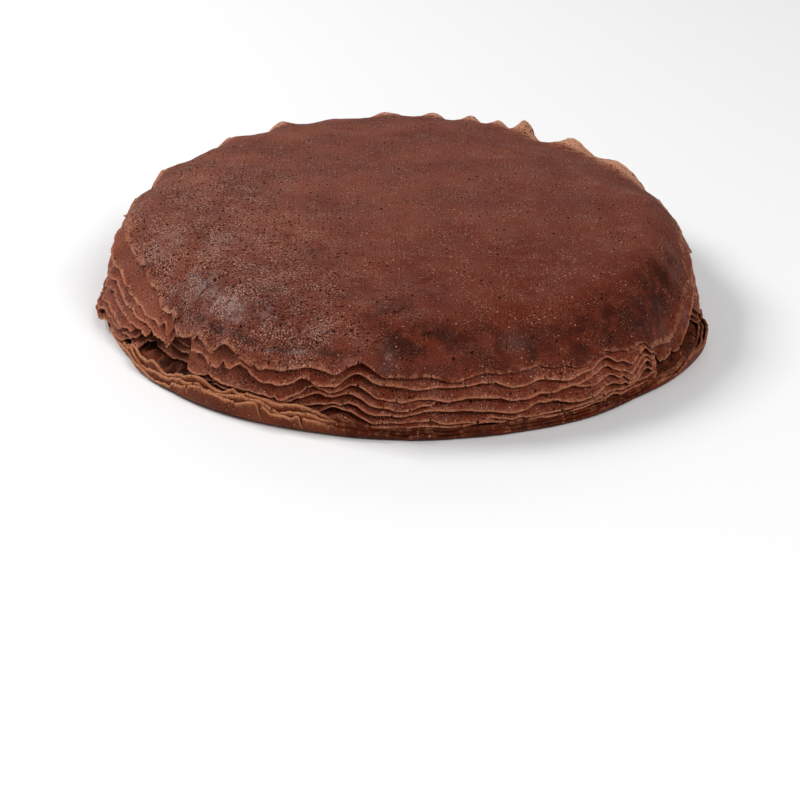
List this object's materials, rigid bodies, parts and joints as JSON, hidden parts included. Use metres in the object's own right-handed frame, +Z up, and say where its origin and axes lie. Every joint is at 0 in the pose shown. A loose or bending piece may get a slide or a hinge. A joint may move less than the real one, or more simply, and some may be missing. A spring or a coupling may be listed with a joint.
{
  "type": "crepe cake",
  "caption": "Whole uncut chocolate crepe cake: thin crepes draped in ruffled layers over a low dome, the lowest ones turned up at the rim like a shallow dish.",
  "frame": {"origin": "on the cake's axis, in the plane of the flat face it rests on", "axes": "+Z up through the top crepe; -Y towards the side with the deepest folds"},
  "size_m": [0.2279, 0.2316, 0.042],
  "materials": {
    "top_crepe": "soft baked cocoa crepe with a faint sheen",
    "draped_crepe": "soft baked cocoa crepe, paler at its edge",
    "base_crepe": "smooth baked cocoa crepe underside"
  },
  "bodies": {
    "root": {"crepe_1": "top_crepe", "crepe_2": "draped_crepe", "crepe_3": "draped_crepe", "crepe_4": "draped_crepe", "crepe_5": "draped_crepe", "crepe_6": "draped_crepe", "crepe_7": "draped_crepe", "crepe_8": "base_crepe", "crepe_9": "base_crepe", "crepe_10": "base_crepe"}
  },
  "joints": []
}
